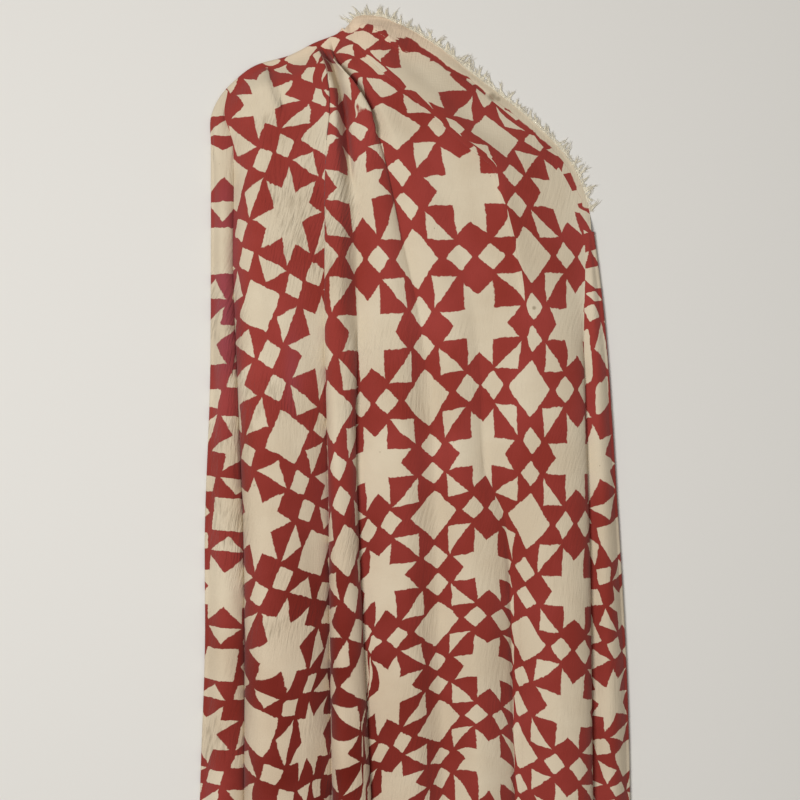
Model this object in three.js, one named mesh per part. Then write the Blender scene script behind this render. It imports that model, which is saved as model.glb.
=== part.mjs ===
// A loose length of block-printed cotton that lies in seven long folds, gathered towards one
// shoulder, with both sides turned under and one raw edge frayed into a short fringe.
// Millimetres: X across the cloth, Y up its length from the lower cut end, Z up from the
// surface that it lies on. The group is then centred over its own outline.
import * as THREE from "three";

const THICK = 1.6; // the sheet
const TURN_RADIUS = 2.6; // of the edges that turn under, at mid-thickness
const ON_FLOOR = THICK / 2; // mid-thickness height of a layer that lies on the surface
const TURN_TOP = ON_FLOOR + 2 * TURN_RADIUS;
const TURN_STEPS = 3;
const GATHER_END = 710; // below this height up the cloth its sections are level
const ROWS_ABOVE = 9; // rows of faces from the gathered top down to GATHER_END
const ROWS_BELOW = 18;
const RISE = 26; // distance in which the cloth rises from its top edge to the full folds
const RAW_EDGE_END = { from: 718, to: 703 }; // where the raw edge lifts off and turns under
const RAW_EDGE_LIFT = 9; // length of the same lift at the shoulder end
const MITRE_LEAST = 0.6; // limits how far a sharp crease pushes its offset out

// The top outline, from the left side over the shoulder to the start of the long raw edge.
const SHOULDER = [
  [-203, 790],
  [-203, 815],
  [-194, 835],
  [-177, 853],
  [-160, 865],
  [-126, 875],
  [-100, 888],
  [-76, 898],
  [-71, 904],
  [-65, 912],
  [-59, 918],
  [-44, 919],
  [-30, 917],
];

// Heights up the cloth at which the z columns below are given.
const LEVELS = [860, 710, 480, 230, 0];

// The two sides and the valleys between the folds, from left to right. Each path runs down.
const LINES = [
  {
    name: "left_side",
    path: [[-203, 790], [-203, 657], [-204, 540], [-209, 403], [-209, 280], [-214, 130], [-216, 0]],
    z: [TURN_TOP, TURN_TOP, TURN_TOP, TURN_TOP, TURN_TOP],
  },
  {
    name: "side_valley",
    path: [[-189, 842], [-192, 818], [-184, 790], [-183, 662], [-177, 510], [-172, 370], [-172, 0]],
    z: [7.5, 8, 8, 8, 8],
  },
  {
    name: "inner_pleat",
    path: [[-124, 876], [-103, 830], [-92, 770], [-90, 710], [-90, 590], [-87, 460], [-84, 200], [-80, 0]],
    z: [19, 30, 14, 12, 12],
  },
  {
    name: "main_valley",
    path: [[-96, 890], [-83, 865], [-76, 820], [-66, 772], [-53, 700], [-51, 640], [-60, 500], [-58, 418], [-45, 202], [-34, 0]],
    z: [10, 12, 12, 12, 12],
  },
  {
    name: "middle_valley",
    path: [[-85, 893], [-79, 872], [-57, 842], [-37, 794], [-15, 701], [6, 603], [18, 500], [22, 360], [29, 170], [33, 0]],
    z: [10, 15, 15, 16, 16],
  },
  {
    name: "low_crease",
    path: [[-71, 904], [-64, 880], [-40, 850], [-8, 810], [20, 760], [48, 680], [66, 550], [68, 470], [92, 400], [98, 278], [101, 140], [105, 0]],
    z: [20, 24, 25, 17, 16],
  },
  {
    name: "lapped_edge",
    path: [[-38, 919], [-10, 900], [65, 842], [127, 788], [160, 738], [170, 700], [170, 577], [175, 388], [178, 140], [181, 0]],
    z: [7, 9, 11, 12, 12],
  },
  {
    name: "right_side",
    path: [[-30, 917], [15, 894], [73, 849], [123, 808], [160, 767], [176, 724], [178, 700], [189, 608], [202, 418], [212, 232], [216, 0]],
    z: [TURN_TOP, TURN_TOP, TURN_TOP, TURN_TOP, TURN_TOP],
  },
];

// The folds between those lines: where the crest lies between them, its height at LEVELS,
// how sharply each flank drops (0 soft, 1 upright), how far the right flank laps over the
// next fold, and the rows of faces on each flank. bunch draws a flank's rows to the crest.
const FOLDS = [
  { name: "side_fold", crest: 0.5, z: [10, 16, 21, 24, 24], sharp: [0.3, 0.8], lap: 0, faces: [3, 3], bunch: 1 },
  { name: "shoulder_fold", crest: 0.34, z: [22, 35, 40, 45, 43], sharp: [0.7, 0.7], lap: 0, faces: [4, 4], bunch: 1 },
  { name: "narrow_fold", crest: 0.4, z: [20, 34, 38, 40, 38], sharp: [0.6, 0.9], lap: 3, faces: [3, 3], bunch: 1 },
  { name: "front_fold", crest: 0.6, z: [18, 28, 30, 31, 30], sharp: [0.5, 0.1], lap: 0, faces: [4, 3], bunch: 1 },
  { name: "chest_fold", crest: 0.5, z: [21, 27, 32, 34, 33], sharp: [0.1, 0.5], lap: 0, faces: [4, 4], bunch: 1 },
  { name: "broad_fold", crest: 0.5, z: [21, 25, 33, 38, 37], sharp: [0.3, 0.9], lap: 4, faces: [4, 5], bunch: 1.4 },
  { name: "edge_fold", crest: 0.5, z: [4, 9, 16, 21, 21], sharp: [0.1, 0.5], lap: 0, faces: [2, 3], bunch: 1 },
];

// The crest of the broad fold. Its upper stretch is a narrow pleat that runs down to the
// right from the shoulder and stands proud of the nearly smooth cloth round it.
const BROAD_CREST = [
  [-65, 912], [-54, 886], [-28, 862], [17, 824], [47, 793], [76, 769], [90, 726], [107, 657],
  [114, 600], [121, 510], [138, 370], [146, 200], [150, 0],
];
const PLEAT = { height: 5, ends: 600, fades: 90 };

// How far each side turns under, by height up the cloth.
const LEFT_UNDER = [[919, 28], [850, 28], [800, 34], [710, 80], [480, 140], [230, 175], [0, 188]];
const RIGHT_UNDER = [[720, 40], [600, 90], [480, 125], [230, 160], [0, 172]];
const UNDER_STEPS = 2;

// The fringe: threads on a narrow strip, just clear of the raw edge.
const STRIP = { gap: 0.3, wide: 2.8, high: 1.2 };
const THREAD = { pitch: 3, wide: 1.2, short: 5, long: 12, lean: 0.4, tip: 0.45 };

const COTTON = new THREE.MeshStandardMaterial({ color: 0xa9564a, roughness: 0.92, metalness: 0 });
const THREADS = new THREE.MeshStandardMaterial({ color: 0xd2c3a4, roughness: 0.95, metalness: 0 });

const mix = (a, b, f) => a + (b - a) * f;
const clamp01 = (v) => Math.min(1, Math.max(0, v));
const smooth = (v) => clamp01(v) ** 2 * (3 - 2 * clamp01(v));
const mixPoint = (a, b, f) => [mix(a[0], b[0], f), mix(a[1], b[1], f)];
const apart = (a, b) => Math.hypot(a[0] - b[0], a[1] - b[1]);

// A value from rows of [height, value], smoothly and without overshoot.
function fromRows(rows, y) {
  const falling = rows[0][0] > rows.at(-1)[0] ? rows : [...rows].reverse();
  if (y >= falling[0][0]) return falling[0][1];
  for (let i = 1; i < falling.length; i += 1) {
    const [y1, v1] = falling[i];
    const [y0, v0] = falling[i - 1];
    if (y >= y1) return mix(v0, v1, smooth((y0 - y) / (y0 - y1)));
  }
  return falling.at(-1)[1];
}

const byLevel = (z, y) => fromRows(LEVELS.map((level, i) => [level, z[i]]), y);

// A smooth curve through points of the plan, and the x of such a curve at a height.
const curveThrough = (points) =>
  new THREE.CatmullRomCurve3(points.map(([x, y]) => new THREE.Vector3(x, y, 0)), false, "centripetal");

function planPoint(curve, f) {
  const p = curve.getPointAt(clamp01(f));
  return [p.x, p.y];
}

function xAtHeight(curve, y) {
  let above = 0;
  let below = 1;
  for (let i = 0; i < 30; i += 1) {
    const middle = (above + below) / 2;
    if (curve.getPoint(middle).y > y) above = middle;
    else below = middle;
  }
  return curve.getPoint((above + below) / 2).x;
}

const shoulder = curveThrough(SHOULDER);

// The place along the shoulder outline that is nearest to a point.
function placeOnShoulder(point) {
  let best = 0;
  for (let i = 0; i <= 400; i += 1) {
    if (apart(planPoint(shoulder, i / 400), point) < apart(planPoint(shoulder, best), point))
      best = i / 400;
  }
  return best;
}

const lineTops = LINES.map((line) => placeOnShoulder(line.path[0]));
const lineCurves = LINES.map((line, i) =>
  curveThrough([planPoint(shoulder, lineTops[i]), ...line.path.slice(1)]),
);
const broadTop = placeOnShoulder(BROAD_CREST[0]);
const broadCurve = curveThrough([planPoint(shoulder, broadTop), ...BROAD_CREST.slice(1)]);
const underEndsAt = lineTops[LINES.findIndex((line) => line.name === "low_crease")];

// The height of the top edge: turned under along the shoulder, then down on the surface.
function shoulderEdgeZ(place) {
  const past = (place - underEndsAt) * shoulder.getLength();
  return mix(TURN_TOP, ON_FLOOR, smooth(past / RAW_EDGE_LIFT));
}

function rightSideZ(y) {
  const { from, to } = RAW_EDGE_END;
  return mix(ON_FLOOR, TURN_TOP, smooth((from - y) / (from - to)));
}

// A point of one line in the section that is a share t of the way from GATHER_END to the
// line's top (t above 0) or from GATHER_END to the lower end (t below 0).
function linePoint(curve, top, t) {
  const y = t > 0 ? mix(GATHER_END, planPoint(shoulder, top)[1], t) : GATHER_END * (1 + t);
  return [xAtHeight(curve, y), y];
}

// A flank's plan share and height share at the angle a, from its crest (0) to its valley.
function flankShares(a, sharp) {
  const soft = [a / (Math.PI / 2), (1 + Math.cos(2 * a)) / 2];
  const upright = [Math.sin(a), Math.cos(a)];
  return [mix(soft[0], upright[0], sharp), mix(soft[1], upright[1], sharp)];
}

// One section across the upper layer, from the left side to the right side.
function section(t) {
  const ends = LINES.map((line, i) => {
    const [x, y] = linePoint(lineCurves[i], lineTops[i], t);
    const z = line.name === "right_side" ? rightSideZ(y) : byLevel(line.z, y);
    return { x, y, z, place: lineTops[i] };
  });
  const points = [];
  FOLDS.forEach((fold, i) => {
    const left = ends[i];
    const right = ends[i + 1];
    const broad = fold.name === "broad_fold";
    const place = broad ? broadTop : mix(left.place, right.place, fold.crest);
    const [x, y] = broad
      ? linePoint(broadCurve, broadTop, t)
      : mixPoint([left.x, left.y], [right.x, right.y], fold.crest);
    const proud = broad ? PLEAT.height * smooth((y - PLEAT.ends) / PLEAT.fades) : 0;
    const crest = { x, y, z: byLevel(fold.z, y), place };
    const addPoint = (side, k, faces, sharp, lap, bunch) => {
      const a = (k / faces) ** bunch * (Math.PI / 2);
      const [across, down] = flankShares(a, sharp);
      const span = apart([crest.x, crest.y], [side.x, side.y]) || 1;
      const reach = across + (Math.min(lap, span / 4) * Math.sin(2 * a)) / span;
      const [px, py] = mixPoint([crest.x, crest.y], [side.x, side.y], reach);
      const pz = mix(side.z, crest.z, down) + (k === 0 ? proud : 0);
      points.push({ x: px, y: py, z: pz, place: mix(crest.place, side.place, across) });
    };
    const [leftFaces, rightFaces] = fold.faces;
    for (let k = leftFaces; k > 0; k -= 1) addPoint(left, k, leftFaces, fold.sharp[0], 0, 1);
    for (let k = 0; k < rightFaces; k += 1) {
      addPoint(right, k, rightFaces, fold.sharp[1], t > 0 ? 0 : fold.lap, fold.bunch);
    }
  });
  points.push(ends.at(-1));
  return points;
}

const topSection = section(1);

// Bends the sections above GATHER_END so that the last one follows the shoulder outline, and
// brings the cloth down to that edge.
function gathered(t) {
  return section(t).map((p, i) => {
    const top = topSection[i];
    const edge = planPoint(shoulder, top.place);
    const pull = Math.max(0, t) ** 2;
    const x = p.x + (edge[0] - top.x) * pull;
    const y = p.y + (edge[1] - top.y) * pull;
    const risen = smooth(apart([x, y], edge) / RISE);
    return [x, y, mix(shoulderEdgeZ(top.place), p.z, risen)];
  });
}

function upperLayer() {
  const rows = [];
  for (let i = 0; i <= ROWS_ABOVE; i += 1) rows.push(gathered(1 - i / ROWS_ABOVE));
  for (let i = 1; i <= ROWS_BELOW; i += 1) rows.push(gathered(-i / ROWS_BELOW));
  return rows;
}

// The plan direction out of the cloth at each point of an edge that runs anticlockwise,
// averaged over a few neighbours on each side.
function outward(edge, spread) {
  return edge.map((_, i) => {
    const before = edge[Math.max(0, i - spread)];
    const after = edge[Math.min(edge.length - 1, i + spread)];
    const along = [after[0] - before[0], after[1] - before[1]];
    const length = Math.hypot(...along);
    return [along[1] / length, -along[0] / length];
  });
}

// The sheet at mid-thickness: the upper layer, and a strip that turns round each side and
// lies flat under it.
function midSurface() {
  const rows = upperLayer();
  const columns = rows[0].length;
  const points = rows.flat();
  const flat = new Set(); // points of layers that lie on the surface
  const quads = [];
  const at = (row, column) => row * columns + column;
  for (let r = 0; r + 1 < rows.length; r += 1) {
    for (let c = 0; c + 1 < columns; c += 1) {
      quads.push([at(r, c), at(r + 1, c), at(r + 1, c + 1), at(r, c + 1)]);
    }
  }

  const turnUnder = (edge, widths) => {
    const out = outward(edge.map((id) => points[id]), 1);
    const outEvened = outward(edge.map((id) => points[id]), 6);
    let last = edge;
    const addRow = (make) => {
      const row = edge.map((id, i) => points.push(make(points[id], i)) - 1);
      for (let i = 0; i + 1 < row.length; i += 1) {
        quads.push([last[i], row[i], row[i + 1], last[i + 1]]);
      }
      last = row;
      return row;
    };
    for (let k = 1; k <= TURN_STEPS; k += 1) {
      const a = (k / TURN_STEPS) * Math.PI;
      const row = addRow(([x, y], i) => [
        x + out[i][0] * TURN_RADIUS * Math.sin(a),
        y + out[i][1] * TURN_RADIUS * Math.sin(a),
        ON_FLOOR + TURN_RADIUS * (1 + Math.cos(a)),
      ]);
      if (k === TURN_STEPS) row.forEach((id) => flat.add(id));
    }
    for (let k = 1; k <= UNDER_STEPS; k += 1) {
      addRow(([x, y], i) => {
        const wide = (fromRows(widths, y) * k) / UNDER_STEPS;
        return [x - outEvened[i][0] * wide, y - outEvened[i][1] * wide, ON_FLOOR];
      }).forEach((id) => flat.add(id));
    }
  };

  // The left side runs from the raw edge over the shoulder and down.
  const underEnds = topSection.findIndex((top) => top.place > underEndsAt - 1e-6);
  const left = [];
  for (let c = underEnds; c > 0; c -= 1) left.push(at(0, c));
  for (let r = 0; r < rows.length; r += 1) left.push(at(r, 0));
  turnUnder(left, LEFT_UNDER);

  // The right side runs up from the lower end to where the raw edge begins.
  const right = [];
  for (let r = rows.length - 1; rows[r].at(-1)[1] <= RAW_EDGE_END.to; r -= 1) {
    right.push(at(r, columns - 1));
  }
  turnUnder(right, RIGHT_UNDER);

  // The raw edge between them, where it lies on the surface.
  const raw = [];
  for (let c = underEnds; c < columns; c += 1) raw.push(at(0, c));
  for (let r = 1; rows[r].at(-1)[1] > RAW_EDGE_END.to; r += 1) raw.push(at(r, columns - 1));
  const resting = raw.filter((id) => points[id][2] < ON_FLOOR + 0.01);
  resting.forEach((id) => flat.add(id));
  return { points, quads, flat, resting: resting.map((id) => points[id]) };
}

function meshFrom(name, vertices, triangles, material) {
  const geometry = new THREE.BufferGeometry();
  geometry.setAttribute("position", new THREE.Float32BufferAttribute(vertices.flat(), 3));
  geometry.setIndex(triangles.flat());
  geometry.computeVertexNormals();
  const mesh = new THREE.Mesh(geometry, material);
  mesh.name = name;
  return mesh;
}

// Thickens the mid-surface by half the sheet to each side and closes its edges.
function thickened({ points, quads, flat }) {
  const vectors = points.map((p) => new THREE.Vector3(...p));
  const faceNormals = quads.map(([a, b, c, d]) => {
    const across = vectors[c].clone().sub(vectors[a]);
    return across.cross(vectors[d].clone().sub(vectors[b])).normalize();
  });
  const around = points.map(() => []);
  quads.forEach((quad, i) => quad.forEach((id) => around[id].push(faceNormals[i])));
  const offsets = around.map((normals, id) => {
    const sum = normals.reduce((total, n) => total.add(n), new THREE.Vector3());
    if (flat.has(id)) return new THREE.Vector3(0, 0, (Math.sign(sum.z) * THICK) / 2);
    if (points[id][1] === 0) sum.y = 0; // the lower end is cut square
    const mean = sum.normalize();
    const spread = normals.reduce((total, n) => total + n.dot(mean), 0) / normals.length;
    return mean.multiplyScalar(THICK / 2 / Math.max(MITRE_LEAST, spread));
  });
  const upper = vectors.map((v, i) => v.clone().add(offsets[i]).toArray());
  const lower = vectors.map((v, i) => v.clone().sub(offsets[i]).toArray());
  const count = points.length;
  const triangles = [];
  const edges = new Map();
  quads.forEach(([a, b, c, d]) => {
    triangles.push([a, b, c], [a, c, d]);
    triangles.push([a + count, c + count, b + count], [a + count, d + count, c + count]);
    [[a, b], [b, c], [c, d], [d, a]].forEach(([from, to]) => {
      if (!edges.delete(`${to} ${from}`)) edges.set(`${from} ${to}`, [from, to]);
    });
  });
  edges.forEach(([from, to]) => {
    triangles.push([to, from, from + count], [to, from + count, to + count]);
  });
  return { vertices: [...upper, ...lower], triangles };
}

// The plan offset out of the cloth at each point of the raw edge, mitred so that every
// stretch moves out by the same distance. The edge runs clockwise.
function mitred(edge) {
  const normals = edge.slice(1).map((p, i) => {
    const length = apart(p, edge[i]);
    return [(edge[i][1] - p[1]) / length, (p[0] - edge[i][0]) / length];
  });
  return edge.map((_, i) => {
    const [a, b] = [normals[Math.max(0, i - 1)], normals[Math.min(normals.length - 1, i)]];
    const share = 1 + a[0] * b[0] + a[1] * b[1];
    return [(a[0] + b[0]) / share, (a[1] + b[1]) / share];
  });
}

// Even numbers from 0 to 1 that are the same on every run.
function seeded(seed) {
  let state = seed;
  return () => {
    state = (state * 16807) % 2147483647;
    return state / 2147483647;
  };
}

// The frayed end: a narrow band beside the raw edge. Its outer face is cut into cells, and
// every second cell grows into a thread that lies on the surface and tapers to its tip.
function frayedEnd(edge) {
  const offsets = mitred(edge);
  const lengths = edge.map((p, i) => (i ? apart(p, edge[i - 1]) : 0));
  const total = lengths.reduce((sum, length) => sum + length, 0);
  const count = Math.floor(total / THREAD.pitch);
  const random = seeded(19);

  // A point at the distance s along the edge and the distance out from it.
  const beside = (s, out) => {
    let i = 1;
    let past = s;
    while (i < edge.length - 1 && past > lengths[i]) {
      past -= lengths[i];
      i += 1;
    }
    const f = past / lengths[i];
    const [dx, dy] = mixPoint(offsets[i - 1], offsets[i], f);
    const [x, y] = mixPoint(edge[i - 1], edge[i], f);
    return [x + dx * out, y + dy * out];
  };

  const vertices = [];
  const triangles = [];
  const point = ([x, y], z) => vertices.push([x, y, z]) - 1;
  const face = (...ids) => {
    for (let i = 2; i < ids.length; i += 1) triangles.push([ids[0], ids[i - 1], ids[i]]);
  };
  const rib = (s) => ({
    s,
    innerLow: point(beside(s, STRIP.gap), 0),
    innerHigh: point(beside(s, STRIP.gap), STRIP.high),
    outerLow: point(beside(s, STRIP.gap + STRIP.wide), 0),
    outerHigh: point(beside(s, STRIP.gap + STRIP.wide), STRIP.high),
  });

  const grow = (from, to, index) => {
    const root = beside((from.s + to.s) / 2, STRIP.gap + STRIP.wide);
    const seat = beside((from.s + to.s) / 2, 0);
    const away = Math.atan2(root[1] - seat[1], root[0] - seat[0]);
    const lean = THREAD.lean * Math.sin(index * 0.31) + 0.12 * (random() - 0.5);
    const clump = 0.5 + 0.5 * Math.sin(index * 0.83 + 1);
    const long = mix(THREAD.short, THREAD.long, 0.65 * clump + 0.35 * random());
    const ends = [0.55, 1].map((share) => {
      const turn = away + lean * share;
      return [root[0] + Math.cos(turn) * long * share, root[1] + Math.sin(turn) * long * share];
    });
    const half = (THREAD.wide * THREAD.tip) / 2;
    const side = [Math.sin(away + lean) * half, -Math.cos(away + lean) * half];
    const high = STRIP.high * THREAD.tip;
    const ahead = [ends[0][0] + side[0], ends[0][1] + side[1]];
    const behind = [ends[0][0] - side[0], ends[0][1] - side[1]];
    const ring = [point(ahead, 0), point(behind, 0), point(behind, high), point(ahead, high)];
    const base = [to.outerLow, from.outerLow, from.outerHigh, to.outerHigh];
    const tip = point(ends[1], 0);
    for (let k = 0; k < 4; k += 1) {
      const next = (k + 1) % 4;
      face(base[k], base[next], ring[next], ring[k]);
      face(ring[k], ring[next], tip);
    }
  };

  let last = rib(0);
  face(last.innerLow, last.innerHigh, last.outerHigh, last.outerLow);
  for (let i = 0; i < count; i += 1) {
    const start = (total * i) / count;
    [total / count - THREAD.wide, total / count].forEach((step, isThread) => {
      const next = rib(start + step);
      face(last.innerHigh, next.innerHigh, next.outerHigh, last.outerHigh);
      face(last.innerLow, last.outerLow, next.outerLow, next.innerLow);
      face(last.innerLow, next.innerLow, next.innerHigh, last.innerHigh);
      if (isThread) grow(last, next, i);
      else face(next.outerLow, last.outerLow, last.outerHigh, next.outerHigh);
      last = next;
    });
  }
  face(last.innerLow, last.outerLow, last.outerHigh, last.innerHigh);
  return { vertices, triangles };
}

const sheet = midSurface();
const cloth = thickened(sheet);
const frayed = frayedEnd(sheet.resting);

const laid = new THREE.Group();
laid.add(meshFrom("cloth", cloth.vertices, cloth.triangles, COTTON));
laid.add(meshFrom("frayed_end", frayed.vertices, frayed.triangles, THREADS));

// The origin goes to the middle of the outline, on the surface.
const middle = new THREE.Box3().setFromObject(laid).getCenter(new THREE.Vector3());
laid.position.set(-middle.x, -middle.y, 0);

const group = new THREE.Group();
group.add(laid);
export default group;
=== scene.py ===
import math

import bpy
import numpy as np
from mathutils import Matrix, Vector


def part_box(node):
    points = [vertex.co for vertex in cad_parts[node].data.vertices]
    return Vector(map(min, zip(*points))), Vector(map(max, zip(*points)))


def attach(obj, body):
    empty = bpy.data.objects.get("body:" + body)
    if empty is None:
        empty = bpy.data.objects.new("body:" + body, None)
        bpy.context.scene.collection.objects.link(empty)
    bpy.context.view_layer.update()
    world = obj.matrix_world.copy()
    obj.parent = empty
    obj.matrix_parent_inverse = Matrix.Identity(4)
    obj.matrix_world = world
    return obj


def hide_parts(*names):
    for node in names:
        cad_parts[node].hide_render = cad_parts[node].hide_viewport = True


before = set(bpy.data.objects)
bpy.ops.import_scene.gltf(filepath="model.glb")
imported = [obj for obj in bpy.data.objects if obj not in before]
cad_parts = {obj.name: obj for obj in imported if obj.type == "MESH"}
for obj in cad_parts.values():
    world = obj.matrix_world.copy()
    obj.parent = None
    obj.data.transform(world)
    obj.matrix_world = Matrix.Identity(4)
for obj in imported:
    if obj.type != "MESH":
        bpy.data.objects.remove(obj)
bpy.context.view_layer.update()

# The camera hangs straight above the laid cloth and takes in a square of 800 mm at the
# upper end. Plan places are in millimetres from the middle of the lower cut end.
MM = 0.001
SHOULDER_TOP = 919.2  # the cloth's highest place in the plan
CLOTH_LOW, CLOTH_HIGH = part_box("cloth")
PLAN_ORIGIN = np.array([(CLOTH_LOW[0] + CLOTH_HIGH[0]) / 2, CLOTH_HIGH[1] - SHOULDER_TOP * MM, 0.0])
VIEW_MIDDLE = (-15, 530)
VIEW_WIDE = 800
LENS_HEIGHT = 2200
FOLD_HEIGHT = 25  # where the view is as wide as VIEW_WIDE


def in_frame(points):
    """Plan millimetres to metres in the part's frame."""
    return np.asarray(points, float) * MM + PLAN_ORIGIN


camera = bpy.data.objects.new("camera", bpy.data.cameras.new("camera"))
camera.location = in_frame((*VIEW_MIDDLE, LENS_HEIGHT))
camera.data.angle = 2 * math.atan(VIEW_WIDE / 2 / (LENS_HEIGHT - FOLD_HEIGHT))
bpy.context.scene.collection.objects.link(camera)
bpy.context.scene.camera = camera


# The cloth is one length of undyed cotton cambric, hand block-printed in red round cream
# stars. It lies in seven long folds that gather to one shoulder, and both of its sides
# turn under. The folds are worked out from their valleys, their crests and the top outline.
THICK = 0.6  # thicker than cambric, so that its cut edge catches the light
TURN_TOP = 6.0  # height of the edges that turn under
ON_FLOOR = THICK / 2
TURN_RADIUS = (TURN_TOP - ON_FLOOR) / 2
GATHER_END = 710  # below this height up the cloth its sections are level
RISE = 26  # distance in which the cloth rises from its top edge to the full folds
RELIEF_RISE = 9  # the same distance for small creases
RAW_EDGE_END = (718, 703)  # where the raw edge lifts off and turns under
RAW_EDGE_LIFT = 9  # length of the same lift at the shoulder end
ROWS_ABOVE = 64  # rows of faces above GATHER_END
ROWS_BELOW = 138
LAP_CHANGE = (750, 670)  # heights between which the upper laps pass into the lower ones
SIDE_COLUMNS = 6  # columns at each side over which the creases fade
LAP_SHARE = 0.25  # the most of a flank that its lap takes up
DOME = 1.3  # power of the slope beside the raw edge
DOME_FROM = (640, 730)  # heights between which that slope takes over from the folds
CRINKLED_ACROSS = (60, -100)  # the cloth is more crinkled to the left and lower down
CRINKLED_DOWN = (820, 620)
LEAST_CRINKLED = 0.45

SHOULDER = [
    (-203, 790), (-203, 815), (-194, 835), (-177, 853), (-160, 865), (-126, 875), (-100, 888),
    (-76, 898), (-71, 904), (-65, 912), (-59, 918), (-44, 919), (-30, 917),
]
LEVELS = [860, 710, 480, 230, 0]  # heights of the z columns below

# The two sides and the valleys between the folds, each from its top down.
LINES = {
    "left_side": {
        "path": [
            (-203, 790), (-203, 657), (-204, 540), (-209, 403), (-209, 280), (-214, 130), (-216, 0),
        ],
        "z": [TURN_TOP] * 5,
    },
    "side_valley": {
        "path": [
            (-189, 842), (-192, 818), (-184, 790), (-183, 662), (-177, 510), (-172, 370), (-172, 0),
        ],
        "z": [7.5, 8, 10, 12, 12],
    },
    "inner_pleat": {
        "path": [
            (-100, 888), (-92, 868), (-86, 845), (-85, 820), (-88, 790), (-90, 750), (-90, 710),
            (-90, 590), (-87, 460), (-84, 200), (-80, 0),
        ],
        "z": [19, 30, 18, 17, 17],
    },
    "main_valley": {
        "path": [
            (-97, 891), (-84, 868), (-74, 836), (-69, 800), (-65, 763), (-60, 715), (-57, 640),
            (-60, 500), (-58, 418), (-48, 202), (-37, 0),
        ],
        "z": [11, 21, 18, 18, 18],
    },
    "middle_valley": {
        "path": [
            (-85, 893), (-79, 872), (-57, 842), (-37, 794), (-15, 701), (6, 603), (18, 500),
            (22, 360), (29, 170), (33, 0),
        ],
        "z": [11, 20, 19, 18, 18],
    },
    "low_crease": {
        "path": [
            (-71, 904), (-64, 880), (-40, 850), (-8, 810), (20, 760), (48, 680), (66, 550),
            (68, 470), (92, 400), (98, 278), (101, 140), (105, 0),
        ],
        "z": [20, 24, 25, 17, 16],
    },
    "lapped_edge": {
        "path": [
            (-38, 919), (-10, 900), (65, 842), (127, 788), (160, 738), (170, 700), (170, 577),
            (175, 388), (178, 140), (181, 0),
        ],
        "z": [7, 9, 11, 12, 12],
    },
    "right_side": {
        "path": [
            (-30, 917), (15, 894), (73, 849), (123, 808), (160, 767), (176, 724), (178, 700),
            (189, 608), (202, 418), (212, 232), (216, 0),
        ],
        "z": [TURN_TOP] * 5,
    },
}

# The folds from left to right: where the crest lies between the fold's two lines, and its
# height at LEVELS.
FOLDS = {
    "side": {"crest": 0.5, "z": [10, 16, 21, 24, 24]},
    "shoulder": {"crest": 0.34, "z": [22, 35, 40, 45, 43]},
    "narrow": {"crest": 0.4, "z": [22, 34, 38, 40, 38]},
    "front": {"crest": 0.6, "z": [22, 28, 30, 31, 30]},
    "chest": {"crest": 0.5, "z": [21, 27, 32, 34, 33]},
    "broad": {"crest": 0.5, "z": [19, 25, 33, 38, 37]},
    "edge": {"crest": 0.5, "z": [4, 9, 16, 21, 21]},
}

# The two flanks of each fold: how upright it is above and below the height UPRIGHT_FROM
# (0 soft, 1 upright), how far it laps over its valley above and below LAP_CHANGE, its
# faces, and how they bunch at the crest (1 not at all).
UPRIGHT_FROM = (640, 540)
LEFT_FLANKS = {
    "side": {"upright": (0.3, 0.3), "lap": (0, 0), "faces": 12, "bunch": 1},
    "shoulder": {"upright": (0.5, 0.7), "lap": (0, 2), "faces": 18, "bunch": 1},
    "narrow": {"upright": (0.6, 0.6), "lap": (2, 3), "faces": 12, "bunch": 1},
    "front": {"upright": (0.2, 0.5), "lap": (0, 0), "faces": 14, "bunch": 1},
    "chest": {"upright": (0.1, 0.1), "lap": (0, 0), "faces": 14, "bunch": 1},
    "broad": {"upright": (0.3, 0.3), "lap": (0, 0), "faces": 20, "bunch": 1.5},
    "edge": {"upright": (0.1, 0.1), "lap": (0, 0), "faces": 8, "bunch": 1},
}
RIGHT_FLANKS = {
    "side": {"upright": (0.7, 0.8), "lap": (0, 0), "faces": 10, "bunch": 1},
    "shoulder": {"upright": (0.6, 0.7), "lap": (0, 0), "faces": 18, "bunch": 1},
    "narrow": {"upright": (0.1, 0.9), "lap": (0, 3), "faces": 14, "bunch": 1},
    "front": {"upright": (0.6, 0.1), "lap": (4, 0), "faces": 12, "bunch": 1},
    "chest": {"upright": (0.2, 0.5), "lap": (0, 0), "faces": 14, "bunch": 1},
    "broad": {"upright": (0.3, 0.9), "lap": (0, 4), "faces": 22, "bunch": 1.5},
    "edge": {"upright": (0.1, 0.5), "lap": (0, 0), "faces": 12, "bunch": 1},
}

# The crest of the broad fold, which starts as a narrow pleat from the shoulder.
BROAD_CREST = [
    (-65, 912), (-54, 886), (-28, 862), (17, 824), (47, 793), (76, 769), (90, 726), (107, 657),
    (114, 600), (121, 510), (138, 370), (146, 200), (150, 0),
]

# The strips that turn under, as rows of height and width.
LEFT_UNDER = [(919, 28), (850, 28), (800, 34), (710, 80), (480, 140), (230, 175), (0, 188)]
RIGHT_UNDER = [(720, 40), (600, 90), (480, 125), (230, 160), (0, 172)]
TURN_STEPS = 7
UNDER_STEPS = 4
TURN_SPREAD, UNDER_SPREAD = 6, 40  # edge points each way that even out a strip's direction

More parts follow.
